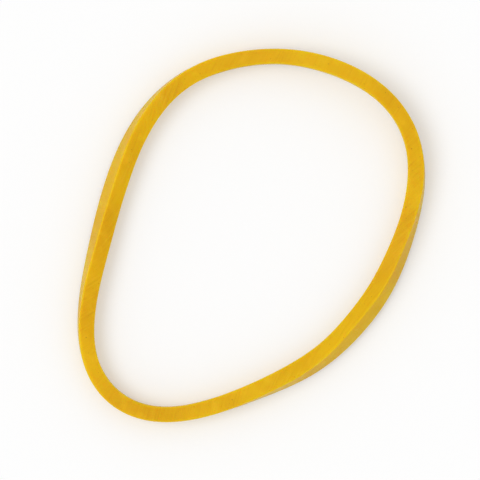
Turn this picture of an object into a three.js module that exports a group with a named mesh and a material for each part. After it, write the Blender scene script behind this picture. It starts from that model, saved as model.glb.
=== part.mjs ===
// A small natural-rubber band: one ring sliced from a long thin-walled tube and let go,
// so that it lies as a relaxed egg-shaped loop.
// Millimetres, +Z up, +X along the loop's longer way across. It rests on z = 0, and the
// origin is under the middle of the loop's bounding box.

import * as THREE from 'three';

// The ring as it comes off the knife
const BORE = 24; // inside diameter of the tube
const WALL = 1.15; // thickness of the tube's wall
const CUT_WIDTH = 1.6; // width of the slice, measured along the tube
const CUT_SLANT = 0.08; // how far the upper cut runs out of square across the tube
const ARRIS_RADIUS = 0.1; // edges left by the knife, softened by handling

// The outline it relaxes to, as shares of its mean radius: an oval, one end smaller than the
// other, fuller corners than an ellipse, and a small end that is tighter still
const OUTLINE = [
  { lobes: 2, share: 0.153, towards: -1 },
  { lobes: 3, share: 0.044, towards: 181 },
  { lobes: 4, share: 0.024, towards: -9 },
  { lobes: 5, share: 0.011, towards: 176 },
];

// Both long sides lean in at the top, so that the outer wall shows from above
const LEANS = [
  { middle: 108, reach: 66, amount: 27 },
  { middle: 268, reach: 72, amount: 30 },
];

// The middle of the large end stands a little clear of the surface
const RISE = { middle: -5, reach: 46, amount: 0.8 };

// How finely the surface is divided
const STATIONS = 120; // round the loop
const ARRIS_STEPS = 3; // round each edge of the section
const LENGTH_STEPS = 2400; // for measuring along the outline

const RUBBER = { color: 0xe0b022, roughness: 0.62, metalness: 0 };

const TURN = 2 * Math.PI;
const { degToRad, euclideanModulo } = THREE.MathUtils;

// The closed outline of the loop in the XY plane, by its polar radius
class RelaxedLoop extends THREE.Curve {
  constructor(meanRadius) {
    super();
    this.meanRadius = meanRadius;
    this.arcLengthDivisions = LENGTH_STEPS;
  }

  // The outline with the length that the ring really has
  static ofLength(length) {
    const unit = new RelaxedLoop(1);
    return new RelaxedLoop(length / unit.getLength());
  }

  getPoint(t, target = new THREE.Vector3()) {
    const angle = TURN * t;
    let share = 1;
    for (const { lobes, share: size, towards } of OUTLINE) {
      share += size * Math.cos(lobes * (angle - degToRad(towards)));
    }
    const radius = this.meanRadius * share;
    return target.set(radius * Math.cos(angle), radius * Math.sin(angle), 0);
  }

  getTangent(t, target = new THREE.Vector3()) {
    const angle = TURN * t;
    let share = 1;
    let growth = 0;
    for (const { lobes, share: size, towards } of OUTLINE) {
      const phase = lobes * (angle - degToRad(towards));
      share += size * Math.cos(phase);
      growth -= size * lobes * Math.sin(phase);
    }
    const x = growth * Math.cos(angle) - share * Math.sin(angle);
    const y = growth * Math.sin(angle) + share * Math.cos(angle);
    return target.set(x, y, 0).normalize();
  }
}

// A gentle swell: its full amount at its middle and nothing beyond its reach, in degrees
function swell(angle, { middle, reach, amount }) {
  const away = Math.abs(euclideanModulo(angle - degToRad(middle) + Math.PI, TURN) - Math.PI);
  const part = Math.min(away / degToRad(reach), 1);
  return amount * (1 + Math.cos(Math.PI * part)) / 2;
}

// The section of the ring, closed on itself: x is the distance from the tube's axis
function sectionProfile() {
  const innerX = BORE / 2 + ARRIS_RADIUS;
  const outerX = BORE / 2 + WALL - ARRIS_RADIUS;
  const lowY = -CUT_WIDTH / 2 + ARRIS_RADIUS;
  const highY = CUT_WIDTH / 2 - ARRIS_RADIUS;
  const corners = [
    { x: outerX, y: lowY, from: -90 },
    { x: outerX, y: highY, from: 0 },
    { x: innerX, y: highY, from: 90 },
    { x: innerX, y: lowY, from: 180 },
  ];
  const points = [];
  for (const { x, y, from } of corners) {
    for (let step = 0; step <= ARRIS_STEPS; step += 1) {
      const angle = degToRad(from + (90 * step) / ARRIS_STEPS);
      const across = ARRIS_RADIUS * Math.cos(angle);
      const up = ARRIS_RADIUS * Math.sin(angle);
      points.push(new THREE.Vector2(x + across, y + up));
    }
  }
  points.push(points[0].clone());
  return points;
}

// The round ring, with its tube's axis along Y and its upper cut a little out of square
function slicedRing() {
  const ring = new THREE.LatheGeometry(sectionProfile(), STATIONS);
  const place = ring.getAttribute('position');
  const meanRadius = (BORE + WALL) / 2;
  for (let i = 0; i < place.count; i += 1) {
    const above = Math.max(place.getY(i), 0) / (CUT_WIDTH / 2);
    const slant = (CUT_SLANT / 2) * (place.getZ(i) / meanRadius);
    place.setY(i, place.getY(i) + slant * above);
  }
  return ring;
}

// How high the middle of the section stands when it leans, so that its lowest edge touches
function seatHeight(lean) {
  const halfWidth = CUT_WIDTH / 2 - ARRIS_RADIUS;
  const halfWall = WALL / 2 - ARRIS_RADIUS;
  return halfWidth * Math.cos(lean) + halfWall * Math.sin(Math.abs(lean)) + ARRIS_RADIUS;
}

// Lays the round ring along the relaxed outline: every point keeps its place in the section
// and its share of the way round
function layDown(ring) {
  const meanRadius = (BORE + WALL) / 2;
  const loop = RelaxedLoop.ofLength(TURN * meanRadius);
  const place = ring.getAttribute('position');
  const point = new THREE.Vector3();
  const tangent = new THREE.Vector3();
  for (let i = 0; i < place.count; i += 1) {
    const around = euclideanModulo(Math.atan2(place.getX(i), place.getZ(i)) / TURN, 1);
    const t = loop.getUtoTmapping(around);
    loop.getPoint(t, point);
    loop.getTangent(t, tangent);
    const angle = TURN * t;
    const lean = degToRad(LEANS.reduce((sum, each) => sum + swell(angle, each), 0));
    const out = Math.hypot(place.getX(i), place.getZ(i)) - meanRadius;
    const up = place.getY(i);
    const across = out * Math.cos(lean) - up * Math.sin(lean);
    const height = up * Math.cos(lean) + out * Math.sin(lean);
    place.setXYZ(
      i,
      point.x + tangent.y * across,
      point.y - tangent.x * across,
      seatHeight(lean) + swell(angle, RISE) + height,
    );
  }
  return ring;
}

// Puts the origin under the middle of the bounding box
function centre(geometry) {
  geometry.computeBoundingBox();
  const middle = geometry.boundingBox.getCenter(new THREE.Vector3());
  geometry.translate(-middle.x, -middle.y, 0);
  return geometry;
}

function rubberBand() {
  const geometry = centre(layDown(slicedRing()));
  geometry.computeVertexNormals();
  const band = new THREE.Mesh(geometry, new THREE.MeshStandardMaterial(RUBBER));
  band.name = 'rubber_band';
  return band;
}

const part = new THREE.Group();
part.add(rubberBand());

export default part;
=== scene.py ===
# A small natural-rubber band on a white surface, seen from straight above.
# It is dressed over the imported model: a finer mesh of the same ring, laid down along a relaxed
# outline, with what the knife, the die and the powder leave on the rubber.
import math

import bpy
import numpy as np
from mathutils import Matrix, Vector


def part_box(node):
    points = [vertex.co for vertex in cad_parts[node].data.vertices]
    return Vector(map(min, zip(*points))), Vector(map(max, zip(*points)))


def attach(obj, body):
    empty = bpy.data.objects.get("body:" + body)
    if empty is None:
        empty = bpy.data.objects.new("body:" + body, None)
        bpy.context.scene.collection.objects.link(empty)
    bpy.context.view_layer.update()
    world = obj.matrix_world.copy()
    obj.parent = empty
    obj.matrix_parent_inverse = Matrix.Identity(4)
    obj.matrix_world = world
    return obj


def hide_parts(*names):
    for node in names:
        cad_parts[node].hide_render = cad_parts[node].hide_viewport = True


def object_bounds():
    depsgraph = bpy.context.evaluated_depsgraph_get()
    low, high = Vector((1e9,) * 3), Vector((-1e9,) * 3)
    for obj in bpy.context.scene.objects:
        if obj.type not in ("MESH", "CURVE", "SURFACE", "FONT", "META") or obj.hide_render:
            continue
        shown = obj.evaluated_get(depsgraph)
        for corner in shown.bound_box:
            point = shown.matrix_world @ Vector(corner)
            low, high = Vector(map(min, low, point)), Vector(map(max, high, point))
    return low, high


MM = 0.001
TURN = 2 * math.pi

# The ring as it comes off the knife, as in the model
BORE = 24 * MM
WALL = 1.15 * MM
CUT_WIDTH = 1.6 * MM
CUT_SLANT = 0.08 * MM
ARRIS_RADIUS = 0.1 * MM
MEAN_RADIUS = (BORE + WALL) / 2

# The outline it lies along: (lobes, share of its radius, direction in degrees). It is as long as
# the model's and follows the same loop a little more closely, mostly round the small end.
OUTLINE = (
    (2, 0.1647, -1.5),
    (3, 0.0515, 180.4),
    (4, 0.0401, -10.9),
    (5, 0.0171, 179.7),
    (6, 0.0081, -7.9),
    (7, 0.005, 176.8),
)

# How it leans and rises along that outline, as in the model: (middle, reach, amount), with the
# middle and the reach in degrees
LEANS = ((108, 66, math.radians(27)), (268, 72, math.radians(30)))
RISE = (-5, 46, 0.8 * MM)

# How finely the dressed mesh is divided
STATIONS = 1600
ARRIS_STEPS = 5
WALL_STEPS = 8  # across a cut face
WIDTH_STEPS = 10  # across an inner or outer face
LENGTH_STEPS = 40000  # for measuring along the outline

# The surface unrolled for its maps: rows of equal length, laid one above the other
MAP_ROWS = 4
MAP_MARGIN = 0.008  # of the map, left free round each row

# What the making leaves on the rubber: (waves round the ring from, to, height of all of them)
CUT_WAVER = (3, 13, 0.042 * MM)  # the blade's drift, along the tube
WALL_WAVER = (2, 11, 0.028 * MM)  # the die's, in the wall's thickness
LINE_WAVES = (230, 620, 0.0035 * MM)  # fine lines down the tube's wall
BLADE_MARKS = (9, 30, 0.006 * MM)  # marks that run straight across the tube, over its radius
WAVES_IN_A_SET = 24
LEAST_WEIGHT = 0.4  # of a wave, where the heaviest has 1
CUT_SEED, OUTER_SEED, INNER_SEED, LINE_SEED, BLADE_SEED = 11, 12, 13, 14, 15

# The view
BAND_SHARE = 0.8  # of the picture's height that the band fills
TURN_IN_PICTURE = 56  # degrees that +X is turned up from the picture's right
LENS = 500  # long, so that from above the band shows no more of its inner walls than it should
SENSOR = 36
CLIP_REACH = 100  # how many times nearer and further than the band the camera sees

# The light: a white room, and one soft lamp from the picture's upper left
ROOM_LEVEL = 0.77
LAMP_ENERGY = 0.78
LAMP_SPREAD = 36  # degrees
LAMP_FROM = (-0.14, 0.22, 0.42)
BACKGROUND_RAYS = ("Is Camera Ray", "Is Glossy Ray", "Is Transmission Ray")

# The surface it lies on
FLOOR_SIZE = 3  # metres
FLOOR_WHITE = 0.77
FLOOR_ROUGHNESS = 0.9
FLOOR_LIFT = 0.235  # white added where the floor is seen directly


# The outline and how the section stands along it

def outline_share(angle):
    """The outline's radius at these angles, as a share of its mean, and how fast it grows."""
    share = np.ones_like(angle)
    growth = np.zeros_like(angle)
    for lobes, size, towards in OUTLINE:
        phase = lobes * (angle - math.radians(towards))
        share += size * np.cos(phase)
        growth -= size * lobes * np.sin(phase)
    return share, growth


def swell(angle, middle, reach, amount):
    """A gentle swell: its full amount at its middle and nothing beyond its reach."""
    away = np.abs((angle - math.radians(middle) + math.pi) % TURN - math.pi)
    part = np.minimum(away / math.radians(reach), 1)
    return amount * (1 + np.cos(math.pi * part)) / 2


def stations(around):
    """Places, outward directions, leans and lifts at these shares of the way round."""
    angle = np.linspace(0, TURN, LENGTH_STEPS + 1)
    share, growth = outline_share(angle)
    speed = np.hypot(share, growth)
    gone = np.concatenate([[0], np.cumsum((speed[1:] + speed[:-1]) / 2)]) * (TURN / LENGTH_STEPS)
    radius = TURN * MEAN_RADIUS / gone[-1]
    at = np.interp(around, gone / gone[-1], angle)
    share, growth = outline_share(at)
    place = radius * share[:, None] * np.stack([np.cos(at), np.sin(at)], 1)
    along = np.stack(
        [
            growth * np.cos(at) - share * np.sin(at),
            growth * np.sin(at) + share * np.cos(at),
        ],
        1,
    )
    along /= np.linalg.norm(along, axis=1, keepdims=True)
    outward = np.stack([along[:, 1], -along[:, 0]], 1)
    lean = sum(swell(at, *each) for each in LEANS)
    return place, outward, lean, swell(at, *RISE)


# The section of the ring and what the making leaves on it

def section():
    """(out, up) places and (out, up) facings round the section, from the middle of its wall."""
    reach = np.array([WALL / 2 - ARRIS_RADIUS, CUT_WIDTH / 2 - ARRIS_RADIUS])
    corners = ((1, -1, -90), (1, 1, 0), (-1, 1, 90), (-1, -1, 180))
    places, facings = [], []
    for index, (out, up, start) in enumerate(corners):
        middle = reach * (out, up)
        for step in range(ARRIS_STEPS + 1):
            angle = math.radians(start + 90 * step / ARRIS_STEPS)
            facing = np.array([math.cos(angle), math.sin(angle)])
            places.append(middle + ARRIS_RADIUS * facing)
            facings.append(facing)
        following = corners[(index + 1) % len(corners)]
        arrive = reach * following[:2] + ARRIS_RADIUS * facings[-1]
        steps = WIDTH_STEPS if index % 2 == 0 else WALL_STEPS
        leave = places[-1]
        for step in range(1, steps):
            places.append(leave + (arrive - leave) * step / steps)
            facings.append(facings[-1])
    return np.array(places), np.array(facings)


def waves(across, least, most, height, seed):
    """A smooth made-up line over the values across, which repeats each TURN of them."""
    rng = np.random.default_rng(seed)
    counts = rng.integers(least, most + 1, WAVES_IN_A_SET)
    phases = rng.uniform(0, TURN, counts.size)
    weights = rng.uniform(LEAST_WEIGHT, 1, counts.size)
    weights *= height / np.sqrt((weights**2).sum())
    return sum(w * np.cos(n * across + p) for n, p, w in zip(counts, phases, weights))


def dressed_ring():
    """Grids (station, point): out and up in the section, facing, and place in the tube."""
    around = np.arange(STATIONS) / STATIONS
    flat, facing = section()
    angle = (TURN * around)[:, None]
    out = np.broadcast_to(flat[:, 0], (STATIONS, len(flat))).copy()
    up = np.broadcast_to(flat[:, 1], out.shape).copy()
    outness = np.broadcast_to(facing[:, 0], out.shape)
    upness = np.broadcast_to(facing[:, 1], out.shape)
    above = np.clip(up, 0, None) / (CUT_WIDTH / 2)
    up += above * CUT_SLANT / 2 * np.cos(angle)
    up += above * waves(angle, *CUT_WAVER, CUT_SEED)
    out += outness.clip(0, 1) * waves(angle, *WALL_WAVER, OUTER_SEED)
    out -= (-outness).clip(0, 1) * waves(angle, *WALL_WAVER, INNER_SEED)
    out += outness * waves(angle, *LINE_WAVES, LINE_SEED)
    across = (MEAN_RADIUS + out) * np.sin(angle) / MEAN_RADIUS
    up += upness.clip(0, 1) * waves(across * math.pi, *BLADE_MARKS, BLADE_SEED)
    tube = np.stack(
        [(MEAN_RADIUS + out) * np.cos(angle), (MEAN_RADIUS + out) * np.sin(angle), up], -1
    )
    return around, out, up, outness, upness, tube


def unrolled(count, section_places):
    """Map places of each face's four corners, in the order the faces name them."""
    steps = np.linalg.norm(np.roll(section_places, -1, 0) - section_places, axis=1)
    share = np.concatenate([[0], np.cumsum(steps)]) / steps.sum()
    share = MAP_MARGIN + share * (1 / MAP_ROWS - 2 * MAP_MARGIN)
    per_row = count // MAP_ROWS
    station = np.arange(count)[:, None]
    begin = MAP_MARGIN + (station % per_row) / per_row * (1 - 2 * MAP_MARGIN)
    end = begin + (1 - 2 * MAP_MARGIN) / per_row
    base = station // per_row / MAP_ROWS
    near, far = base + share[None, :-1], base + share[None, 1:]
    corners = ((begin, near), (end, near), (end, far), (begin, far))
    return np.stack([np.stack(np.broadcast_arrays(*corner), -1) for corner in corners], 2)


def laid_down(around, out, up):
    """Places in the row frame of the ring's grid, before it is centred."""
    place, outward, lean, lift = stations(around)
    half_width, half_wall = CUT_WIDTH / 2 - ARRIS_RADIUS, WALL / 2 - ARRIS_RADIUS
    seat = half_width * np.cos(lean) + half_wall * np.sin(np.abs(lean)) + ARRIS_RADIUS
    cos, sin = np.cos(lean)[:, None], np.sin(lean)[:, None]
    across = out * cos - up * sin
    height = (seat + lift)[:, None] + up * cos + out * sin
    flat = place[:, None, :] + outward[:, None, :] * across[:, :, None]
    return np.concatenate([flat, height[:, :, None]], 2)


def centred(grid, low, high):
    """The grid over the middle of the box from low to high, resting on z = 0."""
    middle = (grid.min((0, 1)) + grid.max((0, 1))) / 2
    wanted = (np.array(low) + np.array(high)) / 2
    grid[:, :, :2] += (wanted - middle)[:2]
    grid[:, :, 2] -= grid[:, :, 2].min()
    return grid


def ring_faces(count, points):
    """The four corners of each face of a grid that closes on itself both ways."""
    station, point = np.meshgrid(np.arange(count), np.arange(points), indexing="ij")
    after, beside = (station + 1) % count, (point + 1) % points
    corners = ((station, point), (after, point), (after, beside), (station, beside))
    return np.stack([row * points + column for row, column in corners], -1).reshape(-1, 4)


def band_mesh(low, high):
    """The dressed band's mesh over the middle of the model's box, with its maps' layers."""
    around, out, up, outness, upness, tube = dressed_ring()
    grid = centred(laid_down(around, out, up), low, high)
    count, points = grid.shape[:2]
    quads = ring_faces(count, points)
    mesh = bpy.data.meshes.new("rubber_band_dressed")
    mesh.from_pydata(grid.reshape(-1, 3).tolist(), [], quads.tolist())
    mesh.polygons.foreach_set("use_smooth", np.ones(len(quads), bool))
    for name, values in (
        ("tube", tube / MM),
        ("facing", np.stack([outness, upness, np.zeros_like(outness)], -1)),
    ):
        layer = mesh.attributes.new(name, "FLOAT_VECTOR", "POINT")
        layer.data.foreach_set("vector", np.ascontiguousarray(values, np.float32).ravel())
    unrolled_map = mesh.uv_layers.new(name="OFBake")
    corners = unrolled(count, section()[0]).astype(np.float32)
    unrolled_map.data.foreach_set("uv", np.ascontiguousarray(corners).ravel())
    mesh.update()
    return mesh


# Materials

def from_srgb(red, green, blue):
    """Linear colour of an 8-bit sRGB one, with alpha."""
    parts = []
    for part in (red, green, blue):
        share = part / 255
        parts.append(share / 12.92 if share <= 0.04045 else ((share + 0.055) / 1.055) ** 2.4)
    return (*parts, 1.0)


class Nodes:
    """A material's node tree, with short calls for the nodes used here."""

    def __init__(self, name):
        self.material = bpy.data.materials.new(name)
        self.material.use_nodes = True
        self.tree = self.material.node_tree
        self.shader = self.tree.nodes["Principled BSDF"]

    def link(self, source, socket):
        """Links a node's output to the socket, or sets the socket to a plain value."""
        if isinstance(source, (int, float, tuple)):
            socket.default_value = source
        else:
            self.tree.links.new(source, socket)

    def attribute(self, name):
        node = self.tree.nodes.new("ShaderNodeAttribute")
        node.attribute_name = name
        return node.outputs["Vector"]

    def parts(self, vector):
        node = self.tree.nodes.new("ShaderNodeSeparateXYZ")
        self.link(vector, node.inputs[0])
        return node.outputs

    def math(self, operation, *values, clamp=False):
        node = self.tree.nodes.new("ShaderNodeMath")
        node.operation = operation
        node.use_clamp = clamp
        for value, socket in zip(values, node.inputs):
            self.link(value, socket)
        return node.outputs[0]

    def total(self, *terms):
        """The sum of (value, amount) terms."""
        parts = [self.math("MULTIPLY", value, amount) for value, amount in terms]
        total = parts[0]
        for part in parts[1:]:
            total = self.math("ADD", total, part)
        return total

    def no_less(self, value, least):
        """A value from 0 to 1, squeezed into the range from least to 1."""
        return self.math("ADD", self.math("MULTIPLY", value, 1 - least), least)

    def about_middle(self, value):
        """A noise, moved so that its middle is 0."""
        return self.math("SUBTRACT", value, 0.5)

    def stretch(self, vector, scale):
        node = self.tree.nodes.new("ShaderNodeVectorMath")
        node.operation = "MULTIPLY"
        self.link(vector, node.inputs[0])
        node.inputs[1].default_value = scale
        return node.outputs[0]

    def noise(self, vector, scale, detail, roughness):
        node = self.tree.nodes.new("ShaderNodeTexNoise")
        self.link(vector, node.inputs["Vector"])
        node.inputs["Scale"].default_value = scale
        node.inputs["Detail"].default_value = detail
        node.inputs["Roughness"].default_value = roughness
        return node.outputs["Fac"]

    def ramp(self, value, low, high):
        node = self.tree.nodes.new("ShaderNodeMapRange")
        node.interpolation_type = "SMOOTHSTEP"
        self.link(value, node.inputs["Value"])
        node.inputs["From Min"].default_value = low
        node.inputs["From Max"].default_value = high
        return node.outputs["Result"]

    def mix(self, factor, first, second):
        node = self.tree.nodes.new("ShaderNodeMix")
        node.data_type = "RGBA"
        self.link(factor, node.inputs["Factor"])
        self.link(first, node.inputs["A"])
        self.link(second, node.inputs["B"])
        return node.outputs["Result"]

    def tint(self, colour, towards, where, amount):
        """The colour, brought this far towards another where the mask is 1."""
        return self.mix(self.math("MULTIPLY", where, amount), colour, towards)

    def bump(self, height, distance, strength, normal=None):
        node = self.tree.nodes.new("ShaderNodeBump")
        node.inputs["Strength"].default_value = strength
        node.inputs["Distance"].default_value = distance
        self.link(height, node.inputs["Height"])
        if normal is not None:
            self.link(normal, node.inputs["Normal"])
        return node.outputs["Normal"]


# The rubber's colours
AMBER = from_srgb(229, 188, 2)
DEEP_AMBER = from_srgb(221, 173, 1)
# also the colour of the painted glow on the arrises and the painted highlight on the ridges
PALE_AMBER = from_srgb(238, 200, 26)
# painted shade, for the grooves of the marks and the pores
SHADED_AMBER = from_srgb(198, 138, 3)
POWDER = from_srgb(240, 190, 74)
SPECK = from_srgb(150, 92, 12)

# Its patterns, over millimetres in the tube: noises as (scale, detail, roughness)
BLADE_NOISE = (7.5, 4.0, 0.7)
BLADED_NOISE = (0.33, 2.0, 0.5)
DIE_NOISE = (7.0, 4.0, 0.68)
GRAIN_NOISE = (17.0, 2.0, 0.6)
PATCH_NOISE = (0.5, 4.0, 0.6)
CLOUD_NOISE = (0.2, 3.0, 0.5)
PALE_NOISE = (0.9, 3.0, 0.5)
SPECK_NOISE = (6.5, 1.0, 0.4)
PORE_NOISE = (15.0, 1.0, 0.4)
ACROSS_THE_TUBE = (0.045, 1, 1)  # draws a noise out into straight marks
DOWN_THE_TUBE = (1, 1, 0.05)

# The levels between which each comes in, and a facing too
FACE_LEVELS = (0.75, 0.98)
RIDGE_LEVELS = (0.5, 0.68)
GROOVE_LEVELS = (0.48, 0.33)
BLADED_LEVELS = (0.32, 0.62)
GRAIN_LEVELS = (0.3, 0.6)
PATCH_LEVELS = (0.36, 0.7)
CLOUD_LEVELS = (0.3, 0.7)
PALE_LEVELS = (0.5, 0.8)
SPECK_LEVELS = (0.75, 0.79)
PORE_LEVELS = (0.7, 0.76)

# How strongly each shows in the colour
LEAST_BLADED = 0.2  # of the blade's marks, where they are faintest
DIE_GROOVE_SHARE = 0.3  # of the blade's grooves
STRETCH_TINT = 0.5
ARRIS_GLOW_TINT = 0.4
GROOVE_SHADE_TINT = 0.28
RIDGE_HIGHLIGHT_TINT = 0.24
SPECK_TINT = 0.55
PORE_SHADE_TINT = 0.3

# How much of the powder's film each place takes
WALL_FILM = 0.1
RIDGE_FILM = 0.2
DIE_RIDGE_FILM = 0.07
INNER_FILM = 0.06
LEAST_PATCH = 0.15  # of the film, where it is thinnest

# The finish, and the relief as (height, strength)
ROUGHNESS = 0.4
CUT_ROUGHNESS = 0.1  # added on the cuts
FILM_ROUGHNESS = 0.45  # added under powder
GRAIN_ROUGHNESS = 0.2  # the grain's share
DIE_RELIEF = 0.5  # of the blade's marks
PORE_RELIEF = 0.3
MARK_BUMP = (0.05 * MM, 0.9)
GRAIN_BUMP = (0.012 * MM, 0.5)

# How light passes into the rubber and off it
PLAIN_INPUTS = (
    ("Subsurface Weight", 0.85),
    ("Subsurface Radius", (1.0, 0.5, 0.12)),
    ("Subsurface Scale", 1.0 * MM),
    ("IOR", 1.5),
    ("Specular IOR Level", 0.15),
)


def rubber():
    """Amber natural rubber: cut faces with blade marks, moulded walls with die lines."""
    n = Nodes("natural_rubber")
    tube = n.attribute("tube")
    facing = n.parts(n.attribute("facing"))
    cut = n.ramp(n.math("ABSOLUTE", facing[1]), *FACE_LEVELS)
    inner = n.ramp(n.math("MULTIPLY", facing[0], -1.0), *FACE_LEVELS)
    outer = n.ramp(facing[0], *FACE_LEVELS)
    walls = n.math("MAXIMUM", inner, outer)
    arris = n.math("SUBTRACT", 1.0, n.math("MAXIMUM", cut, walls))

    # Marks: the blade's straight ones over the cuts, and the die's lines down the tube's walls
    blade = n.noise(n.stretch(tube, ACROSS_THE_TUBE), *BLADE_NOISE)
    bladed = n.ramp(n.noise(tube, *BLADED_NOISE), *BLADED_LEVELS)
    lines = n.noise(n.stretch(tube, DOWN_THE_TUBE), *DIE_NOISE)
    grain = n.noise(tube, *GRAIN_NOISE)
    patches = n.ramp(n.noise(tube, *PATCH_NOISE), *PATCH_LEVELS)

    # Colour: clouded amber with paler stretches, and a painted glow that makes the arrises
    # lighter, as if light passed through them
    cloud = n.ramp(n.noise(tube, *CLOUD_NOISE), *CLOUD_LEVELS)
    colour = n.mix(cloud, AMBER, DEEP_AMBER)
    pale = n.ramp(n.noise(tube, *PALE_NOISE), *PALE_LEVELS)
    colour = n.tint(colour, PALE_AMBER, pale, STRETCH_TINT)
    # painted glow: the arrises lighter, as if light passed through them
    colour = n.tint(colour, PALE_AMBER, arris, ARRIS_GLOW_TINT)

    # The marks show as ridges with a painted highlight, which also catch a little powder, and
    # grooves with painted shade that makes them look deeper, more in some stretches than in others
    marked = n.math("MULTIPLY", cut, n.no_less(bladed, LEAST_BLADED))
    ridges = n.math("MULTIPLY", marked, n.ramp(blade, *RIDGE_LEVELS))
    grooves = n.math("MULTIPLY", marked, n.ramp(blade, *GROOVE_LEVELS))
    die_ridges = n.math("MULTIPLY", walls, n.ramp(lines, *RIDGE_LEVELS))
    die_grooves = n.math("MULTIPLY", walls, n.ramp(lines, *GROOVE_LEVELS))
    # painted shade in the grooves of the blade's marks and, more faintly, of the die's lines
    painted_groove_shade = n.math("MAXIMUM", grooves, n.math("MULTIPLY", die_grooves, DIE_GROOVE_SHARE))
    colour = n.tint(colour, SHADED_AMBER, painted_groove_shade, GROOVE_SHADE_TINT)
    # painted highlight on the ridges of the blade's marks
    colour = n.tint(colour, PALE_AMBER, ridges, RIDGE_HIGHLIGHT_TINT)

    # Powder: a thin film in patches, most of it on the walls
    film = n.total(
        (walls, WALL_FILM), (ridges, RIDGE_FILM), (die_ridges, DIE_RIDGE_FILM), (inner, INNER_FILM)
    )
    film = n.math("MULTIPLY", film, n.no_less(patches, LEAST_PATCH))
    film = n.math("MULTIPLY", film, n.ramp(grain, *GRAIN_LEVELS), clamp=True)
    colour = n.mix(film, colour, POWDER)

    # Specks of dirt, and pores darkened with painted shade, small and few
    specks = n.ramp(n.noise(tube, *SPECK_NOISE), *SPECK_LEVELS)
    pores = n.ramp(n.noise(tube, *PORE_NOISE), *PORE_LEVELS)
    colour = n.tint(colour, SPECK, specks, SPECK_TINT)
    # painted shade in the pores
    colour = n.tint(colour, SHADED_AMBER, pores, PORE_SHADE_TINT)
    n.link(colour, n.shader.inputs["Base Color"])

    # Finish: the moulded walls are smoother than the cuts, and powder dulls both
    rough = n.math("ADD", n.math("MULTIPLY", cut, CUT_ROUGHNESS), ROUGHNESS)
    rough = n.math("ADD", rough, n.math("MULTIPLY", film, FILM_ROUGHNESS))
    rough = n.math("ADD", rough, n.math("MULTIPLY", n.about_middle(grain), GRAIN_ROUGHNESS))
    n.link(rough, n.shader.inputs["Roughness"])

    # Relief: the marks and lines stand out a little, and the pores go in
    relief = n.math("MULTIPLY", n.about_middle(blade), marked)
    die_relief = n.math("MULTIPLY", n.about_middle(lines), walls)
    relief = n.math("ADD", relief, n.math("MULTIPLY", die_relief, DIE_RELIEF))
    relief = n.math("SUBTRACT", relief, n.math("MULTIPLY", pores, PORE_RELIEF))
    normal = n.bump(relief, *MARK_BUMP)
    normal = n.bump(grain, *GRAIN_BUMP, normal)
    n.link(normal, n.shader.inputs["Normal"])

    for name, value in PLAIN_INPUTS:
        n.shader.inputs[name].default_value = value
    return n.material


def seen_directly(tree):
    """1 for a ray that shows the background: from the camera, a reflection or through glass."""
    path = tree.nodes.new("ShaderNodeLightPath")
    seen, *others = [path.outputs[name] for name in BACKGROUND_RAYS]
    for ray in others:
        either = tree.nodes.new("ShaderNodeMath")
        either.operation = "MAXIMUM"
        tree.links.new(seen, either.inputs[0])
        tree.links.new(ray, either.inputs[1])
        seen = either.outputs[0]
    return seen


def surface_white():
    """A white surface that looks a little whiter than it is, so that its shadows stay faint."""
    n = Nodes("white_surface")
    n.shader.inputs["Base Color"].default_value = (FLOOR_WHITE, FLOOR_WHITE, FLOOR_WHITE, 1)
    n.shader.inputs["Roughness"].default_value = FLOOR_ROUGHNESS
    n.shader.inputs["Specular IOR Level"].default_value = 0.0
    n.shader.inputs["Emission Color"].default_value = (1, 1, 1, 1)
    lift = n.math("MULTIPLY", seen_directly(n.tree), FLOOR_LIFT)
    n.link(lift, n.shader.inputs["Emission Strength"])
    return n.material


# The object and what is round it

def make_band():
    """The dressed band, in place of the model's plain one."""
    low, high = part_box("rubber_band")
    band = bpy.data.objects.new("rubber_band_dressed", band_mesh(low, high))
    bpy.context.scene.collection.objects.link(band)
    band.data.materials.append(rubber())
    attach(band, "root")
    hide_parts("rubber_band")


def make_floor():
    """The white surface under it."""
    bpy.ops.mesh.primitive_plane_add(size=FLOOR_SIZE)
    floor = bpy.context.object
    floor.name = "floor"
    floor.data.materials.append(surface_white())


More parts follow.
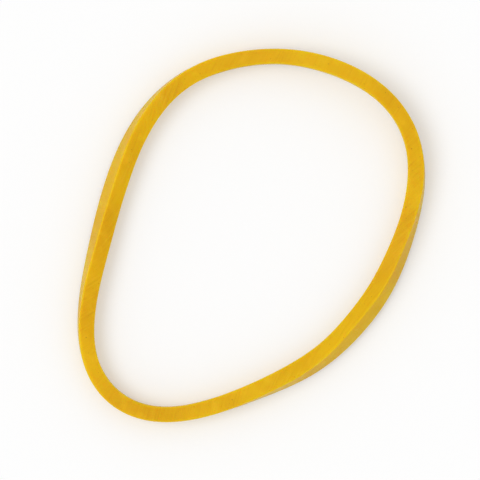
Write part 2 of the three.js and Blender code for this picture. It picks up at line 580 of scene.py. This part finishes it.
def make_light():
    """A room that is white where it is seen and dimmer where it lights, and a soft lamp."""
    world = bpy.data.worlds.new("white_room")
    bpy.context.scene.world = world
    world.use_nodes = True
    tree = world.node_tree
    strength = tree.nodes.new("ShaderNodeMapRange")
    tree.links.new(seen_directly(tree), strength.inputs["Value"])
    strength.inputs["To Min"].default_value = ROOM_LEVEL
    strength.inputs["To Max"].default_value = 1.0
    room = tree.nodes["Background"]
    room.inputs["Color"].default_value = (1, 1, 1, 1)
    tree.links.new(strength.outputs["Result"], room.inputs["Strength"])

    lamp = bpy.data.lights.new("softbox", "SUN")
    lamp.energy = LAMP_ENERGY
    lamp.angle = math.radians(LAMP_SPREAD)
    softbox = bpy.data.objects.new("softbox", lamp)
    bpy.context.scene.collection.objects.link(softbox)
    softbox.rotation_mode = "QUATERNION"
    softbox.rotation_quaternion = Vector(LAMP_FROM).to_track_quat("Z", "Y")


def make_camera(low, high):
    """A camera straight above the middle of this box, which fills its share of the picture."""
    data = bpy.data.cameras.new("camera")
    data.lens = LENS
    data.sensor_width = SENSOR
    camera = bpy.data.objects.new("camera", data)
    bpy.context.scene.collection.objects.link(camera)
    bpy.context.scene.camera = camera
    turn = math.radians(TURN_IN_PICTURE)
    half_x, half_y = (high[0] - low[0]) / 2, (high[1] - low[1]) / 2
    half_height = math.hypot(half_x * math.sin(turn), half_y * math.cos(turn))
    distance = half_height / BAND_SHARE * 2 * LENS / SENSOR
    camera.location = ((low[0] + high[0]) / 2, (low[1] + high[1]) / 2, high[2] + distance)
    camera.rotation_euler = (0, 0, -turn)
    data.clip_start = distance / CLIP_REACH
    data.clip_end = distance * CLIP_REACH


bpy.context.scene.view_settings.view_transform = "Standard"
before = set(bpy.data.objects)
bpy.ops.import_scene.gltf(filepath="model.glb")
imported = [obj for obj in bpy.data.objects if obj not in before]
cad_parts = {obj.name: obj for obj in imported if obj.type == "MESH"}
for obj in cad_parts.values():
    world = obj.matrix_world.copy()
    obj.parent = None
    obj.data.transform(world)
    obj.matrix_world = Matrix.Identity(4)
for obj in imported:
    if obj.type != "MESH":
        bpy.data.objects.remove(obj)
cad_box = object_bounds()
make_camera(*cad_box)
make_band()
make_floor()
make_light()
